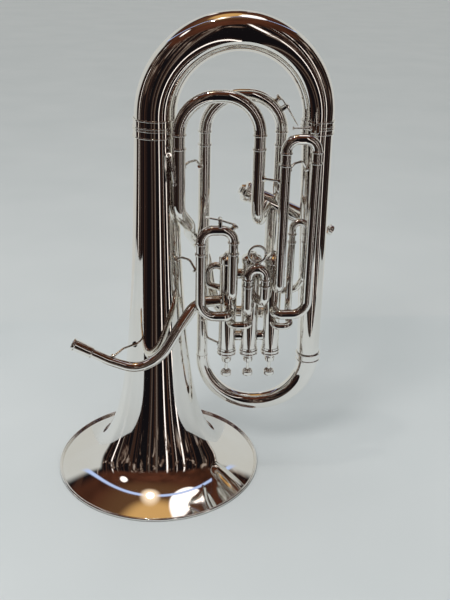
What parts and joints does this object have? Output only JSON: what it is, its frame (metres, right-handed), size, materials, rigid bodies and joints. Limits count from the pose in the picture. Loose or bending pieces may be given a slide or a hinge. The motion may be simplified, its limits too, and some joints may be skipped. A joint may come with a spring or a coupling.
{
  "type": "compensating euphonium",
  "caption": "Silver-plated compensating euphonium stood upside down on its bell, with piston valves, tuning slides, water keys and a curved leadpipe.",
  "frame": {"origin": "centre of the bell rim's plane, which is also the surface the instrument stands on", "axes": "+Z along the bell's axis from the rim towards the bottom bow; +X from the bell towards the outer branch; -Y is the side that carries the valve slides and leadpipe"},
  "size_m": [0.4087, 0.3048, 0.6635],
  "materials": {
    "silver_plate": "polished silver plate over brass",
    "nickel_piston": "lapped nickel plate",
    "spring_steel": "phosphor wire",
    "pearl": "polished mother of pearl disc",
    "cork": "cork pad"
  },
  "bodies": {
    "instrument_body": {"bell": "silver_plate", "bell_bow_ferrule": "silver_plate", "bell_braces": "silver_plate", "bell_rim_wire": "silver_plate", "bottom_bow": "silver_plate", "bottom_valve_caps": "silver_plate", "bow_branch_ferrule": "silver_plate", "compensating_loops": "silver_plate", "compensating_slide_legs": "silver_plate", "first_slide_legs": "silver_plate", "fourth_slide_return_tube": "silver_plate", "fourth_slide_valve_leg": "silver_plate", "leadpipe": "silver_plate", "lyre_socket": "silver_plate", "main_slide_leg": "silver_plate", "mouthpiece_receiver": "silver_plate", "outer_branch": "silver_plate", "second_slide_legs": "silver_plate", "slide_end_rings": "silver_plate", "small_leg": "silver_plate", "third_slide_legs": "silver_plate", "third_to_fourth_tube": "silver_plate", "top_bow": "silver_plate", "top_bow_ferrule": "silver_plate", "top_valve_caps": "silver_plate", "tube_braces": "silver_plate", "valve_casing_1": "silver_plate", "valve_casing_2": "silver_plate", "valve_casing_3": "silver_plate", "valve_casing_4": "silver_plate", "valve_knuckles": "silver_plate", "valve_spring_1": "spring_steel", "valve_spring_2": "spring_steel", "valve_spring_3": "spring_steel", "valve_spring_4": "spring_steel"},
    "main_slide": {"main_tuning_slide": "silver_plate", "main_water_key_saddle": "silver_plate"},
    "main_key": {"main_water_key": "silver_plate", "main_water_key_pad": "cork"},
    "fourth_slide_body": {"fourth_slide": "silver_plate"},
    "first_slide_body": {"first_slide": "silver_plate", "first_water_key_saddle": "silver_plate"},
    "first_key": {"first_water_key": "silver_plate", "first_water_key_pad": "cork"},
    "second_slide_body": {"second_slide": "silver_plate"},
    "third_slide_body": {"third_slide": "silver_plate"},
    "compensating_slide_body": {"compensating_slide": "silver_plate"},
    "lyre_screw": {"lyre_thumb_screw": "silver_plate"},
    "valve_1": {"piston_1": "nickel_piston", "finger_button_1": "silver_plate", "button_pearl_1": "pearl"},
    "valve_2": {"piston_2": "nickel_piston", "finger_button_2": "silver_plate", "button_pearl_2": "pearl"},
    "valve_3": {"piston_3": "nickel_piston", "finger_button_3": "silver_plate", "button_pearl_3": "pearl"},
    "valve_4": {"piston_4": "nickel_piston", "finger_button_4": "silver_plate", "button_pearl_4": "pearl"}
  },
  "joints": [
    {"name": "valve_1_press", "type": "slide", "parent": "instrument_body", "child": "valve_1", "axis": [0, 0, 1], "range_m": [0, 0.0155], "stiffness_N_per_m": 120, "springref_m": -0.03, "deforming": ["valve_spring_1"]},
    {"name": "valve_2_press", "type": "slide", "parent": "instrument_body", "child": "valve_2", "axis": [0, 0, 1], "range_m": [0, 0.0155], "stiffness_N_per_m": 120, "springref_m": -0.03, "deforming": ["valve_spring_2"]},
    {"name": "valve_3_press", "type": "slide", "parent": "instrument_body", "child": "valve_3", "axis": [0, 0, 1], "range_m": [0, 0.0155], "stiffness_N_per_m": 120, "springref_m": -0.03, "deforming": ["valve_spring_3"]},
    {"name": "valve_4_press", "type": "slide", "parent": "instrument_body", "child": "valve_4", "axis": [-0.9071, 0, 0.4208], "range_m": [0, 0.0155], "stiffness_N_per_m": 120, "springref_m": -0.03},
    {"name": "main_tuning_slide_pull", "type": "slide", "parent": "instrument_body", "child": "main_slide", "axis": [0, 0, 1], "range_m": [0, 0.03]},
    {"name": "fourth_slide_pull", "type": "slide", "parent": "instrument_body", "child": "fourth_slide_body", "axis": [0, 0, 1], "range_m": [0, 0.035]},
    {"name": "first_slide_pull", "type": "slide", "parent": "instrument_body", "child": "first_slide_body", "axis": [0, 0, 1], "range_m": [0, 0.045]},
    {"name": "second_slide_pull", "type": "slide", "parent": "instrument_body", "child": "second_slide_body", "axis": [0, 0, 1], "range_m": [0, 0.005]},
    {"name": "third_slide_pull", "type": "slide", "parent": "instrument_body", "child": "third_slide_body", "axis": [0, 0, 1], "range_m": [0, 0.1]},
    {"name": "compensating_slide_pull", "type": "slide", "parent": "instrument_body", "child": "compensating_slide_body", "axis": [0, 0, 1], "range_m": [0, 0.03]},
    {"name": "main_water_key_tilt", "type": "hinge", "parent": "main_slide", "child": "main_key", "pos_m": [0.173, 0.012, 0.5435], "axis": [0, 1, 0], "range_deg": [0, 14], "stiffness_Nm_per_rad": 0.02, "springref_deg": -28.65},
    {"name": "first_water_key_tilt", "type": "hinge", "parent": "first_slide_body", "child": "first_key", "pos_m": [0.0835, -0.047, 0.4055], "axis": [0, -1, 0], "range_deg": [0, 12], "stiffness_Nm_per_rad": 0.02, "springref_deg": -28.65},
    {"name": "lyre_screw_turn", "type": "hinge", "parent": "instrument_body", "child": "lyre_screw", "pos_m": [0.2, -0.0295, 0.523], "axis": [-1, 0, 0], "continuous": true}
  ]
}
